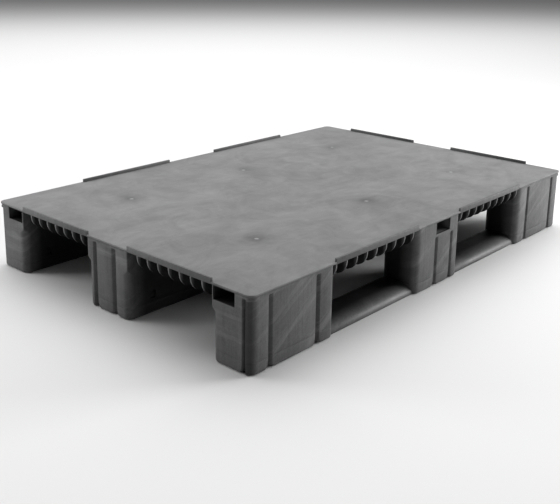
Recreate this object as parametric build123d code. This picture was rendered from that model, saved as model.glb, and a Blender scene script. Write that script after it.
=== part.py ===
"""Closed-deck plastic pallet on three runners, 1200 x 800 x 160 mm.

The origin is on the floor under the middle of the pallet. +X runs along the long
side, +Y along the short side and +Z up. The pallet is an upper deck moulding with
ribs under it, nine hollow legs, three runners that clip into the legs from below,
two steel reinforcing tubes inside the deck, and eight rim strips round the deck
edge, one over each fork opening. The pallet looks the same after half a turn.
"""
from build123d import *
import os

os.makedirs("parts", exist_ok=True)

# ---- overall size, in millimetres ----
LENGTH = 1200.0
WIDTH = 800.0
DECK_TOP = 153.0            # load surface above the floor
RIM_RISE = 7.0              # rim strips above the load surface
DECK_CORNER_R = 14.0        # plan radius of the deck corners

# ---- deck ----
PLATE = 5.0                 # thickness of the closed plate
LIP = 0.8                   # how far the plate stands out past the legs
RIB_DEPTH = 36.0            # ribs below the plate
RIB = 2.8                   # rib thickness
RIB_NOSE_R = 31.0           # rounding of the rib ends at the deck edge
RIB_INSET = 4.0             # rib ends behind the plate edge
RIB_STEP_X = 32.8           # pitch of the ribs that run across
RIB_STEP_Y = 30.35          # pitch of the ribs that run lengthways
RIBS_X = 17                 # ribs each side of the middle one, across
RIBS_Y = 9                  # ribs each side of the middle one, lengthways
PLATE_EDGE_R = 1.2          # softened top edge of the plate

# ---- legs: where they start and end along each axis ----
END_LEG_IN = 366.0          # inner face of the end legs, from the middle
MID_LEG_HALF = 88.0         # half length of the middle legs
SIDE_LEG_IN = 302.0         # fork-side face of the side legs, from the middle
CENTRE_LEG_HALF = 64.0      # half width of the centre row of legs
LEG_WALL = 4.0
END_WEBS = (444.0, 502.0)   # webs inside the end legs, from the middle
MID_WEBS = (-30.0, 30.0)    # webs inside the middle legs
CELL_R = 8.0                # corner radius of the space inside a leg
LEG_CORNER_R = 16.0         # upright edges at the outer faces
LEG_INNER_R = 34.0          # upright edges that guide the forks inside
POST_R = 22.0               # round post of a corner leg, at the corner of the pallet
SEAM = 24.0                 # joint between legs and runners above the floor
HEAD_FOOT = 106.0           # below this, the end corners of a leg are rounded
HEAD_SLOPE = 8.0            # height of the sloped step under a square leg head

# ---- flutes down the outer faces of the legs ----
FLUTE_DEPTH = 6.0
FLUTE_TOP = DECK_TOP - 9.0
SIDE_FLUTES = ((549.0, 14.0), (418.0, 15.0))        # centre and width, end legs
MID_FLUTES = ((-10.0, 15.0), (52.0, 13.0))          # centre and width, middle side legs
MID_FLUTE_TOP = DECK_TOP - 38.0
END_FLUTES = ((40.0, 12.0), (-21.0, 13.0))          # centre and width, middle end legs
CORNER_FLUTE = (381.0, 10.0)                        # on two of the four corner legs
FLUTE_TAPER = 0.55          # how far each side of a flute leans in, per millimetre of depth

# ---- reinforcing tubes and their slots ----
TUBE_Y = 332.0              # centre line of each tube, from the middle
SLOT_W = 54.0
SLOT_H = 27.0
SLEEVE = 3.0                # wall round a slot inside a leg
TUBE_W = 50.0
TUBE_H = 24.0
TUBE_WALL = 1.5
TUBE_LENGTH = 1080.0
POCKET_X = 15.0             # pocket in a middle side leg
POCKET_W = 56.0
POCKET_DEPTH = 60.0

# ---- clips that hold the runners ----
CLIP_X = 536.0              # clip windows, from the middle
WINDOW_W = 15.0
WINDOW_LOW = 32.0
WINDOW_HIGH = 49.0
TONGUE_W = 13.0
TONGUE = 3.0                # thickness of a clip tongue
TONGUE_DEEP = 6.0           # how far its root runs on into the pad
TONGUE_OVERLAP = 8.0        # how far the tongue reaches down into its root
BARB = (2.6, 12.0, 2.0)     # barb: how far out, height of its slope, height of its edge
FIT = 0.3                   # clearance round clips and tubes

# ---- runners ----
RUNNER_OUT = 391.5          # outer side of a side runner between the legs
RUNNER_IN = 312.0           # inner side of a side runner
RUNNER_CENTRE_HALF = 54.0   # half width of the centre runner between the legs
RUNNER_EDGE = 8.0           # height of its upright edge
RUNNER_SLOPE = 30.0         # width of its sloped shoulder
RUNNER_FOOT_CUT = 2.0       # cut along its lower edges
RUNNER_INNER_CUT = (12.0, 9.0)      # cut along its upper inner edge, width and height
BAR_REACH = 10.0            # how far a bar runs on into the pads at its ends
BORE_REACH = 14.0           # how far the space inside the bar runs on
EDGE_DROP = 0.4             # how much lower the bar's edge is inside, per millimetre of wall
RUNNER_WALL = 3.5
PAD_EDGE_R = 6.0            # rounding round the foot of each pad
PAD_FLOOR = 4.0             # thickness under the space inside a pad

# ---- rim strips ----
RIM_W = 5.0
SIDE_RIM = (84.0, 366.0)    # start and end along a long side
END_RIM = (64.0, 300.0)     # start and end along a short side
RIM_TONGUE_W = 12.0
RIM_TONGUE_LONG = 9.0
RIM_TONGUE_H = 2.4
RIM_TONGUES = 4
RIM_TOP_R = 1.0

PLATE_UNDER = DECK_TOP - PLATE
RIB_FOOT = PLATE_UNDER - RIB_DEPTH
FACE_X = LENGTH / 2 - LIP
FACE_Y = WIDTH / 2 - LIP

# radii of the upright edges: low x low y, high x low y, high x high y, low x high y
CORNER_RADII = (LEG_INNER_R, LEG_CORNER_R, POST_R, LEG_CORNER_R)
SIDE_RADII = (LEG_INNER_R, LEG_INNER_R, LEG_CORNER_R, LEG_CORNER_R)
END_RADII = (LEG_INNER_R, LEG_CORNER_R, LEG_CORNER_R, LEG_INNER_R)
CENTRE_RADII = (LEG_INNER_R, LEG_INNER_R, LEG_INNER_R, LEG_INNER_R)


def block(x, y, z):
    """Box between two limits on each axis, given as (low, high) pairs."""
    size = [high - low for low, high in (x, y, z)]
    middle = [(high + low) / 2 for low, high in (x, y, z)]
    return Pos(*middle) * Box(*size)


def half_turn(solid):
    return Rot(0, 0, 180) * solid


def bar_along_x(outline, x_low, x_high):
    """Extrude a closed outline drawn in Y and Z from one X to another."""
    return Pos(x_low, 0, 0) * extrude(make_face(Plane.YZ * outline), x_high - x_low, dir=(1, 0, 0))


def mirror_y(solid):
    return mirror(solid, about=Plane.XZ)


def mirror_x(solid):
    return mirror(solid, about=Plane.YZ)


def save(solid, name):
    solid.label = name
    export_step(solid, f"parts/{name}.step")


def flute(centre, width, low, high):
    """Upright groove cutter with sloped sides, open towards +Y at y = 0."""
    half = width / 2
    floor = half - FLUTE_DEPTH * FLUTE_TAPER
    outline = Polyline((-half - 1, 1), (-half, 0), (-floor, -FLUTE_DEPTH), (floor, -FLUTE_DEPTH),
                       (half, 0), (half + 1, 1), close=True)
    return Pos(centre, 0, low) * extrude(make_face(outline), high - low, dir=(0, 0, 1))


def on_side(cutter):
    """Move a cutter to the +Y face of the legs."""
    return Pos(0, FACE_Y, 0) * cutter


def on_end(cutter):
    """Move a cutter to the +X face of the legs; its x becomes +y."""
    return Pos(FACE_X, 0, 0) * mirror(Rot(0, 0, -90) * cutter, about=Plane.XZ)


def upright_edges(solid, x, y):
    """Upright edges of a solid at the given plan point."""
    return [edge for edge in solid.edges().filter_by(Axis.Z)
            if abs(edge.center().X - x) < 0.5 and abs(edge.center().Y - y) < 0.5]


def column(x, y, z, radii):
    """Box with each upright edge rounded; radii go low-low, high-low, high-high, low-high."""
    solid = block(x, y, z)
    corners = ((x[0], y[0]), (x[1], y[0]), (x[1], y[1]), (x[0], y[1]))
    for (corner_x, corner_y), radius in zip(corners, radii):
        solid = fillet(upright_edges(solid, corner_x, corner_y), radius)
    return solid


def square_head(corner_y, towards):
    """Square corner at the top of an end leg, with a sloped underside."""
    reach = LEG_CORNER_R
    ys = sorted((corner_y, corner_y + towards * reach))
    head = block((FACE_X - reach, FACE_X), ys, (HEAD_FOOT - HEAD_SLOPE, PLATE_UNDER))
    slope = Polyline((FACE_X + 1, HEAD_FOOT + 1), (FACE_X + 1, HEAD_FOOT - HEAD_SLOPE - 1),
                     (FACE_X - HEAD_SLOPE - 1, HEAD_FOOT - HEAD_SLOPE - 1), close=True)
    wedge = extrude(make_face(Plane.XZ * slope), WIDTH / 2, both=True)
    return head - wedge


def hollow(solid, x, y, radii, webs_x, webs_y):
    """Open a leg from top to bottom, leaving its walls and the inner webs."""
    inner_x = (x[0] + LEG_WALL + FLUTE_DEPTH, x[1] - LEG_WALL - FLUTE_DEPTH)
    inner_y = (y[0] + LEG_WALL, y[1] - LEG_WALL - FLUTE_DEPTH)
    if x[0] < 0 < x[1]:
        inner_x = (x[0] + LEG_WALL, x[1] - LEG_WALL)
    if y[0] < 0 < y[1]:
        inner_y = (y[0] + LEG_WALL, y[1] - LEG_WALL)
    inner_radii = [max(CELL_R, radius - LEG_WALL) for radius in radii]
    cell = column(inner_x, inner_y, (SEAM - 1, PLATE_UNDER + 1), inner_radii)
    for web_x in webs_x:
        cell -= block((web_x - RIB / 2, web_x + RIB / 2), (inner_y[0] - 1, inner_y[1] + 1), (0, DECK_TOP))
    for web_y in webs_y:
        cell -= block((inner_x[0] - 1, inner_x[1] + 1), (web_y - RIB / 2, web_y + RIB / 2), (0, DECK_TOP))
    return solid - cell


def window(x, y_wall):
    """Clip window cutter through a leg wall."""
    return block((x - WINDOW_W / 2, x + WINDOW_W / 2), (y_wall - 2 * LEG_WALL, y_wall + 2 * LEG_WALL),
                 (WINDOW_LOW, WINDOW_HIGH))


def tube_slot(solid, x):
    """Slot for the reinforcing tube through a side leg, with a sleeve round it."""
    ys = (TUBE_Y - SLOT_W / 2, TUBE_Y + SLOT_W / 2)
    sleeve = block((x[0] + 1, x[1] - 1), (ys[0] - SLEEVE + 1, ys[1] + SLEEVE),
                   (PLATE_UNDER - SLOT_H - SLEEVE, PLATE_UNDER))
    slot = block((x[0] - 1, x[1] + 1), ys, (PLATE_UNDER - SLOT_H, PLATE_UNDER + 1))
    return solid + sleeve - slot


def corner_leg(with_corner_flute):
    """Corner leg at +X +Y."""
    x = (END_LEG_IN, FACE_X)
    y = (SIDE_LEG_IN, FACE_Y)
    leg = column(x, y, (SEAM, PLATE_UNDER), CORNER_RADII)
    leg += square_head(SIDE_LEG_IN, 1)
    for centre, width in SIDE_FLUTES:
        leg -= on_side(flute(centre, width, 0, FLUTE_TOP))
    if with_corner_flute:
        leg -= on_end(flute(CORNER_FLUTE[0], CORNER_FLUTE[1], 0, FLUTE_TOP))
    leg = hollow(leg, x, y, CORNER_RADII, END_WEBS, ())
    leg = tube_slot(leg, x)
    return leg - window(CLIP_X, SIDE_LEG_IN)


def middle_side_leg():
    """Middle leg of the long side, at +Y."""
    x = (-MID_LEG_HALF, MID_LEG_HALF)
    y = (SIDE_LEG_IN, FACE_Y)
    leg = column(x, y, (SEAM, PLATE_UNDER), SIDE_RADII)
    for centre, width in MID_FLUTES:
        leg -= on_side(flute(-centre, width, 0, MID_FLUTE_TOP))
    leg = hollow(leg, x, y, SIDE_RADII, MID_WEBS, ())
    leg = tube_slot(leg, x)
    pocket = block((-POCKET_X - POCKET_W / 2, -POCKET_X + POCKET_W / 2),
                   (TUBE_Y + SLOT_W / 2 - 1, FACE_Y + 1), (PLATE_UNDER - SLOT_H, PLATE_UNDER + 1))
    return leg - pocket - window(0, SIDE_LEG_IN)


def middle_end_leg():
    """Middle leg of the short side, at +X."""
    x = (END_LEG_IN, FACE_X)
    y = (-CENTRE_LEG_HALF, CENTRE_LEG_HALF)
    leg = column(x, y, (SEAM, PLATE_UNDER), END_RADII)
    leg += square_head(-CENTRE_LEG_HALF, 1)
    leg += square_head(CENTRE_LEG_HALF, -1)
    for centre, width in END_FLUTES:
        leg -= on_end(flute(-centre, width, 0, FLUTE_TOP))
    leg = hollow(leg, x, y, END_RADII, END_WEBS, (0.0,))
    return leg - window(CLIP_X, CENTRE_LEG_HALF) - window(CLIP_X, -CENTRE_LEG_HALF)


def centre_leg():
    half = CENTRE_LEG_HALF
    leg = column((-MID_LEG_HALF, MID_LEG_HALF), (-half, half), (SEAM, PLATE_UNDER), CENTRE_RADII)
    leg = hollow(leg, (-MID_LEG_HALF, MID_LEG_HALF), (-half, half), CENTRE_RADII, MID_WEBS, (0.0,))
    return leg - window(0, half) - window(0, -half)


def runner_section(y_out, y_in, shrink, x_low, x_high):
    """Solid bar along X with a sloped outer shoulder and a rounded inner edge."""
    low = shrink
    cut = RUNNER_FOOT_CUT
    edge = RUNNER_EDGE - shrink * EDGE_DROP
    top = SEAM - shrink
    out = y_out - shrink
    inner = y_in + shrink
    cut_width, cut_height = RUNNER_INNER_CUT
    outline = Polyline((inner + cut, low), (out - cut, low), (out, low + cut), (out, edge),
                       (out - RUNNER_SLOPE, top), (inner + cut_width, top), (inner, top - cut_height),
                       (inner, low + cut), close=True)
    return bar_along_x(outline, x_low, x_high)


def centre_section(shrink, x_low, x_high):
    """Centre runner bar along X, with both shoulders sloped."""
    low = shrink
    cut = RUNNER_FOOT_CUT
    edge = RUNNER_EDGE - shrink * EDGE_DROP
    top = SEAM - shrink
    half = RUNNER_CENTRE_HALF - shrink
    outline = Polyline((-half + cut, low), (half - cut, low), (half, low + cut), (half, edge),
                       (half - RUNNER_SLOPE, top), (-half + RUNNER_SLOPE, top), (-half, edge),
                       (-half, low + cut), close=True)
    return bar_along_x(outline, x_low, x_high)


def pad(x, y, radii, cutters):
    """Foot pad under a leg, with the same outline and a rounded lower edge."""
    solid = column(x, y, (0, SEAM), radii)
    low_edges = solid.edges().group_by(Axis.Z)[0]
    solid = fillet(low_edges, PAD_EDGE_R)
    for cutter in cutters:
        solid -= cutter
    return solid


def pad_cell(x, y, radii):
    """Inner space of a pad, open upwards."""
    wall = LEG_WALL + FLUTE_DEPTH + 1
    inner_radii = [max(CELL_R, radius - wall) for radius in radii]
    return column((x[0] + wall, x[1] - wall), (y[0] + wall, y[1] - wall), (PAD_FLOOR, SEAM + 1), inner_radii)


def tongue(x, y_wall, inwards):
    """Clip tongue behind a leg wall, with a barb that fills the window."""
    near = y_wall + inwards * (LEG_WALL + FIT)
    far = near + inwards * TONGUE
    deep = far + inwards * TONGUE_DEEP
    width = (x - TONGUE_W / 2, x + TONGUE_W / 2)
    bar = block(width, sorted((near, far)), (SEAM - TONGUE_OVERLAP, WINDOW_HIGH - 2))
    foot = block(width, sorted((near - inwards * 1, deep)), (PAD_FLOOR - 2, SEAM - 6))
    low = WINDOW_LOW + 1
    barb_out, barb_slope, barb_edge = BARB
    tip = near - inwards * barb_out
    barb_outline = Polyline((near, low + barb_slope), (near, low), (tip, low), (tip, low + barb_edge),
                            close=True)
    return bar + foot + bar_along_x(barb_outline, *width)


def side_runner():
    """Runner under the legs of the +Y long side."""
    end_x = (END_LEG_IN, FACE_X)
    mid_x = (-MID_LEG_HALF, MID_LEG_HALF)
    y = (SIDE_LEG_IN, FACE_Y)
    flutes = [on_side(flute(centre, width, -1, SEAM + 1)) for centre, width in SIDE_FLUTES]
    corner_flute = on_end(flute(CORNER_FLUTE[0], CORNER_FLUTE[1], -1, SEAM + 1))
    right = pad(end_x, y, CORNER_RADII, flutes + [corner_flute])
    left = mirror_x(pad(end_x, y, CORNER_RADII, flutes))
    middle = pad(mid_x, y, SIDE_RADII,
                 [on_side(flute(-centre, width, -1, SEAM + 1)) for centre, width in MID_FLUTES])
    bar_end = END_LEG_IN + BAR_REACH
    bore_end = END_LEG_IN + BORE_REACH
    bar = runner_section(RUNNER_OUT, RUNNER_IN, 0, -bar_end, bar_end)
    bore = runner_section(RUNNER_OUT, RUNNER_IN, RUNNER_WALL, -bore_end, bore_end)
    runner = bar + right + left + middle
    runner -= bore
    runner -= pad_cell(end_x, y, CORNER_RADII)
    runner -= mirror_x(pad_cell(end_x, y, CORNER_RADII))
    runner -= pad_cell(mid_x, y, SIDE_RADII)
    for x in (-CLIP_X, 0, CLIP_X):
        runner += tongue(x, SIDE_LEG_IN, 1)
    return runner


def centre_runner():
    """Runner under the middle row of legs."""
    end_x = (END_LEG_IN, FACE_X)
    mid_x = (-MID_LEG_HALF, MID_LEG_HALF)
    half = CENTRE_LEG_HALF
    y = (-half, half)
    flutes = [on_end(flute(-centre, width, -1, SEAM + 1)) for centre, width in END_FLUTES]
    right = pad(end_x, y, END_RADII, flutes)
    left = half_turn(right)
    middle = pad(mid_x, y, CENTRE_RADII, [])
    bar_end = END_LEG_IN + BAR_REACH
    bore_end = END_LEG_IN + BORE_REACH
    runner = centre_section(0, -bar_end, bar_end) + right + left + middle
    runner -= centre_section(RUNNER_WALL, -bore_end, bore_end)
    runner -= pad_cell(end_x, y, END_RADII)
    runner -= half_turn(pad_cell(end_x, y, END_RADII))
    runner -= pad_cell(mid_x, y, CENTRE_RADII)
    for x in (-CLIP_X, 0, CLIP_X):
        runner += tongue(x, half, -1)
        runner += tongue(x, -half, 1)
    return runner


def tube():
    """Steel tube inside the +Y side of the deck."""
    low = PLATE_UNDER - SLOT_H / 2 - TUBE_H / 2
    outer = column((TUBE_Y - TUBE_W / 2, TUBE_Y + TUBE_W / 2), (low, low + TUBE_H),
                   (-TUBE_LENGTH / 2, TUBE_LENGTH / 2), [3.0] * 4)
    inner = column((TUBE_Y - TUBE_W / 2 + TUBE_WALL, TUBE_Y + TUBE_W / 2 - TUBE_WALL),
                   (low + TUBE_WALL, low + TUBE_H - TUBE_WALL),
                   (-TUBE_LENGTH / 2 - 1, TUBE_LENGTH / 2 + 1), [1.6] * 4)
    return Plane(origin=(0, 0, 0), x_dir=(0, 1, 0), z_dir=(1, 0, 0)) * (outer - inner)


def rim_tongue_places(span):
    """Centres of the tongues along one rim strip."""
    step = (span[1] - span[0]) / RIM_TONGUES
    return [span[0] + step * (index + 0.5) for index in range(RIM_TONGUES)]


def side_rim(grow=0.0):
    """Rim strip on the +Y edge; grow widens it to make the seat in the deck."""
    span = (SIDE_RIM[0] - grow, SIDE_RIM[1] + grow)
    top = DECK_TOP + RIM_RISE
    strip = block(span, (WIDTH / 2 - RIM_W - grow, WIDTH / 2 + grow), (PLATE_UNDER - grow, top))
    if not grow:
        strip = fillet(strip.edges().group_by(Axis.Z)[-1], RIM_TOP_R)
    middle = PLATE_UNDER + PLATE / 2
    half = RIM_TONGUE_H / 2 + grow
    for x in rim_tongue_places(SIDE_RIM):
        strip += block((x - RIM_TONGUE_W / 2 - grow, x + RIM_TONGUE_W / 2 + grow),
                       (WIDTH / 2 - RIM_W - RIM_TONGUE_LONG - grow, WIDTH / 2 - RIM_W + 1),
                       (middle - half, middle + half))
    return strip


def end_rim(grow=0.0):
    """Rim strip on the +X edge; grow widens it to make the seat in the deck."""
    span = (END_RIM[0] - grow, END_RIM[1] + grow)
    top = DECK_TOP + RIM_RISE
    strip = block((LENGTH / 2 - RIM_W - grow, LENGTH / 2 + grow), span, (PLATE_UNDER - grow, top))
    if not grow:
        strip = fillet(strip.edges().group_by(Axis.Z)[-1], RIM_TOP_R)
    middle = PLATE_UNDER + PLATE / 2
    half = RIM_TONGUE_H / 2 + grow
    for y in rim_tongue_places(END_RIM):
        strip += block((LENGTH / 2 - RIM_W - RIM_TONGUE_LONG - grow, LENGTH / 2 - RIM_W + 1),
                       (y - RIM_TONGUE_W / 2 - grow, y + RIM_TONGUE_W / 2 + grow),
                       (middle - half, middle + half))
    return strip


def four_ways(solid):
    """The solid and its three mirror images about the middle planes."""
    across = mirror_y(solid)
    return [solid, mirror_x(solid), across, mirror_x(across)]


def leg_footprints(clearance):
    """Plan rectangles taken up by the nine legs."""
    end_x = (END_LEG_IN - clearance, LENGTH)
    mid_x = (-MID_LEG_HALF - clearance, MID_LEG_HALF + clearance)
    side_y = (SIDE_LEG_IN - clearance, WIDTH)
    mid_y = (-CENTRE_LEG_HALF - clearance, CENTRE_LEG_HALF + clearance)
    spans_x = (end_x, mid_x, (-end_x[1], -end_x[0]))
    spans_y = (side_y, mid_y, (-side_y[1], -side_y[0]))
    return [(x, y) for x in spans_x for y in spans_y]


def plan_rectangle(x, y):
    return Pos((x[0] + x[1]) / 2, (y[0] + y[1]) / 2) * Rectangle(x[1] - x[0], y[1] - y[0])


def rib_field():
    """Rib grid under the plate, clear of the legs and the tubes."""
    reach_x = LENGTH / 2 - RIB_INSET
    reach_y = WIDTH / 2 - RIB_INSET
    strips = []
    for index in range(-RIBS_X, RIBS_X + 1):
        x = index * RIB_STEP_X
        strips.append(plan_rectangle((x - RIB / 2, x + RIB / 2), (-reach_y, reach_y)))
    for index in range(-RIBS_Y, RIBS_Y + 1):
        y = index * RIB_STEP_Y
        strips.append(plan_rectangle((-reach_x, reach_x), (y - RIB / 2, y + RIB / 2)))
    wall = TUBE_Y + SLOT_W / 2 + RIB / 2
    near_wall = TUBE_Y - SLOT_W / 2 - RIB / 2
    for y in (-wall, -near_wall, near_wall, wall):
        strips.append(plan_rectangle((-reach_x, reach_x), (y - RIB / 2, y + RIB / 2)))
    for x, y in leg_footprints(RIB + FIT):
        strips.append(plan_rectangle((max(x[0], -reach_x), min(x[1], reach_x)),
                                     (max(y[0], -reach_y), min(y[1], reach_y))))
    grid = Sketch() + strips
    for x, y in leg_footprints(FIT):
        grid -= plan_rectangle(x, y)
    ribs = Pos(0, 0, RIB_FOOT) * extrude(grid, RIB_DEPTH)
    bowl = block((-reach_x, reach_x), (-reach_y, reach_y), (RIB_FOOT, PLATE_UNDER + 20))
    bowl = fillet(bowl.edges().group_by(Axis.Z)[0], RIB_NOSE_R)
    ribs = ribs & bowl
    for side in (-1, 1):
        ys = sorted((side * (TUBE_Y - SLOT_W / 2), side * (TUBE_Y + SLOT_W / 2)))
        ribs -= block((-reach_x, reach_x), ys, (PLATE_UNDER - SLOT_H, PLATE_UNDER))
    return ribs


def deck():
    """Closed plate with its rib grid, and seats for the rim strips."""
    outline = RectangleRounded(LENGTH, WIDTH, DECK_CORNER_R)
    plate = Pos(0, 0, PLATE_UNDER) * extrude(outline, PLATE)
    plate = fillet(plate.edges().group_by(Axis.Z)[-1], PLATE_EDGE_R)
    for seat in four_ways(side_rim(FIT)) + four_ways(end_rim(FIT)):
        plate -= seat
    return plate + rib_field()


SIDES = ("rear", "front")
ENDS = ("right", "left")

save(deck(), "top_deck")

plain_corner = mirror_x(corner_leg(False))
fluted_corner = corner_leg(True)
save(fluted_corner, "corner_leg_rear_right")
save(half_turn(fluted_corner), "corner_leg_front_left")
save(plain_corner, "corner_leg_rear_left")
save(half_turn(plain_corner), "corner_leg_front_right")
save(middle_side_leg(), "side_leg_rear")
save(half_turn(middle_side_leg()), "side_leg_front")
save(middle_end_leg(), "end_leg_right")
save(half_turn(middle_end_leg()), "end_leg_left")
save(centre_leg(), "centre_leg")

save(side_runner(), "runner_rear")
save(half_turn(side_runner()), "runner_front")
save(centre_runner(), "runner_centre")

save(tube(), "steel_tube_rear")
save(half_turn(tube()), "steel_tube_front")

for name, strip in zip(("rear_right", "rear_left", "front_right", "front_left"), four_ways(side_rim())):
    save(strip, f"rim_{name}")
for name, strip in zip(("right_rear", "left_rear", "right_front", "left_front"), four_ways(end_rim())):
    save(strip, f"rim_{name}")
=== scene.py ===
import math

import bmesh
import bpy
from mathutils import Matrix, Vector


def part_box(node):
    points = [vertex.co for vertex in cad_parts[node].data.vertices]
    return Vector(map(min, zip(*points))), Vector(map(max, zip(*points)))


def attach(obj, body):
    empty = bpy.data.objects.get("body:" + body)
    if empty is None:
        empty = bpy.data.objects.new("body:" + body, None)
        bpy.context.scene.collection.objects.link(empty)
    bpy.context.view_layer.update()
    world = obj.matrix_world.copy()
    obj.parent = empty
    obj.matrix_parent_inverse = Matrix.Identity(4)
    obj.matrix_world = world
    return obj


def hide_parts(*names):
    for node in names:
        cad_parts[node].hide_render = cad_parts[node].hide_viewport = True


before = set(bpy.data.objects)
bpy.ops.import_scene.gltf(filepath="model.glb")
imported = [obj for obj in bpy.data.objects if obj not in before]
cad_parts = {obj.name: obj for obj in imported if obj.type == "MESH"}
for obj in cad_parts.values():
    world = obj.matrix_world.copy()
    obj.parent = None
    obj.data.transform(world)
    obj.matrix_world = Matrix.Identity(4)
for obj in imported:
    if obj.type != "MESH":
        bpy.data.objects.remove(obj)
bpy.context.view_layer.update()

MM = 0.001

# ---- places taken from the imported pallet, in metres ----
DECK_LOW, DECK_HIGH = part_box("top_deck")
CORNER_LOW, CORNER_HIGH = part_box("corner_leg_rear_right")
SIDE_LOW, SIDE_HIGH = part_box("side_leg_rear")
END_LOW, END_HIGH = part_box("end_leg_right")
CENTRE_LOW, CENTRE_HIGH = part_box("centre_leg")
HALF_X = DECK_HIGH.x
HALF_Y = DECK_HIGH.y
DECK_TOP = DECK_HIGH.z
RIB_FOOT = DECK_LOW.z
PLATE_UNDER = CORNER_HIGH.z
SEAM = CORNER_LOW.z

# ---- shape of the mouldings, in metres ----
ARC_STEPS = 8                   # faces in a quarter turn
SHARP = 24                      # shading breaks at edges above this many degrees
MERGE = 1e-6                    # corners closer than this are one

LEG_CORNER_R = 16 * MM
LEG_INNER_R = 34 * MM           # corners that guide the forks
POST_R = 22 * MM                # round post at each corner of the pallet
POST_TUCK = 13 * MM             # the post reaches less far along the short side beside a flute
COLLAR_R = 14 * MM              # squarer collar round the head of the post
NECK_R = 20 * MM                # post above the collar
COLLAR = (DECK_TOP - 12 * MM, DECK_TOP - 8.5 * MM)
COLLAR_STEP = 0.5 * MM
SQUARE_R = 2 * MM               # nearly square corner at the head of an end leg
HEAD_LOW = 97 * MM              # the head's slope starts here
HEAD_HIGH = 107 * MM
WALL = 4 * MM
FOOT_R = 6 * MM                 # rounding round the foot of a pad
SEAM_GAP = 0.3 * MM

FLUTE_STEPS = 12
FLUTE_DEPTH = 6.5 * MM
MID_FLUTE_DEPTH = 4.5 * MM
SIDE_FLUTES = ((549 * MM, 14 * MM), (418 * MM, 15 * MM))        # centre and width
MID_FLUTES = ((10 * MM, 15 * MM), (-52 * MM, 13 * MM))
END_FLUTES = ((-40 * MM, 15 * MM), (21 * MM, 16 * MM))
CORNER_FLUTE = (381 * MM, 10 * MM)
FLUTE_END = DECK_TOP - 9 * MM
MID_FLUTE_END = DECK_TOP - 38 * MM
FLUTE_FADE = 3 * MM
FLARE_TOP = 18 * MM             # the flutes open out below this height
FLARE_WIDE = 11 * MM
FLARE_DEEP = 14 * MM

TUBE_Y = 332 * MM
SLOT = ((305 * MM, 359 * MM), (PLATE_UNDER - 27 * MM, PLATE_UNDER - 0.3 * MM))     # across and up
SLOT_CUT = 20 * MM              # how far in the end walls are cut for the slot
POCKET = (-43 * MM, 13 * MM)
POCKET_DEPTH = 38 * MM
POCKET_LIP = 0.2 * MM           # the pocket's lining starts this far inside the wall
WINDOW_Z = (32 * MM, 49 * MM)
WINDOW_HALF = 7.5 * MM
CLIP_X = 536 * MM
CUT_MARGIN = 80 * MM            # only faces this near a hole are cut

RUNNER_OUT = 391.5 * MM
RUNNER_IN = 312 * MM
RUNNER_CENTRE_HALF = 54 * MM
PAD_WALL = 3 * MM
PAD_EDGE = 0.4 * MM
BAR_TOP = SEAM - 0.8 * MM
BAR_SINK = 14 * MM              # how far a bar's ends run into the pads
BAR_FOOT = ((3 * MM, 0.0), (0.9 * MM, 0.9 * MM), (0.0, 3 * MM))         # in from the side, up
BAR_INNER = ((9 * MM, 0.0), (4 * MM, 1.6 * MM), (1.2 * MM, 5 * MM), (0.0, 10 * MM))    # in, down
SHOULDER_STEPS = 8
SHOULDER_REACH = 34 * MM
SHOULDER_LOW = 4 * MM
TONGUE_GAP = 0.3 * MM
TONGUE = 3 * MM
TONGUE_HALF = 6.5 * MM
TONGUE_Z = (3 * MM, 47 * MM)
TONGUE_EDGE = 0.5 * MM
BARB = 2.4 * MM
BARB_Z = (33 * MM, 43 * MM)
BARB_EDGE = 0.8 * MM

DECK_CORNER_R = 14 * MM
PLATE_EDGE = 1.1 * MM           # rounding of the plate's upper edge
UNDER_EDGE = ((0.0, 2 * MM), (0.3 * MM, 1.1 * MM), (0.9 * MM, 0.4 * MM), (1.7 * MM, 0.0))     # up, in
RIM_SPANS = {"side": (84 * MM, 366 * MM), "end": (64 * MM, 300 * MM)}
RIM_W = 5 * MM
RIM_SEAT = 0.25 * MM
RIM_EDGE = 0.7 * MM

RIB = 2.8 * MM
RIB_INSET = 4 * MM
RIB_NOSE = 31 * MM
RIB_NOSE_TURNS = (18, 36, 54, 72, 90)       # where the rounded rib ends have a corner, in degrees
RIB_STEP_X = 32.8 * MM
RIB_STEP_Y = 30.35 * MM
RIBS_X = 17
RIBS_Y = 9
LEG_GAP = 0.3 * MM

GATES_X = (-374 * MM, 0.0, 374 * MM)
GATES_Y = (-199.5 * MM, 199.5 * MM)
GATE_PATCH = 34 * MM            # half width of the finer patch under a gate mark
GATE_CUTS = 27
GATE_DISH = (0.55 * MM, 26 * MM)            # depth and radius
GATE_STUB = (1.0 * MM, 4.5 * MM)            # height and radius
GATE_RIPPLE = (0.12 * MM, 1.6 * MM, 20 * MM)    # height, pitch and reach

# ---- tones ----
DECK_GREY = 0.15
LEG_GREY = 0.08
RUNNER_GREY = 0.08
RIM_GREY = 0.078
INNER_SHADE = 0.06               # painted shade: faces deep inside the pallet are drawn darker
DECK_UNDER_SHADE = 0.1           # painted shade: the deck's underside is drawn darker


# ---------------------------------------------------------------- mesh helpers

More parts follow.
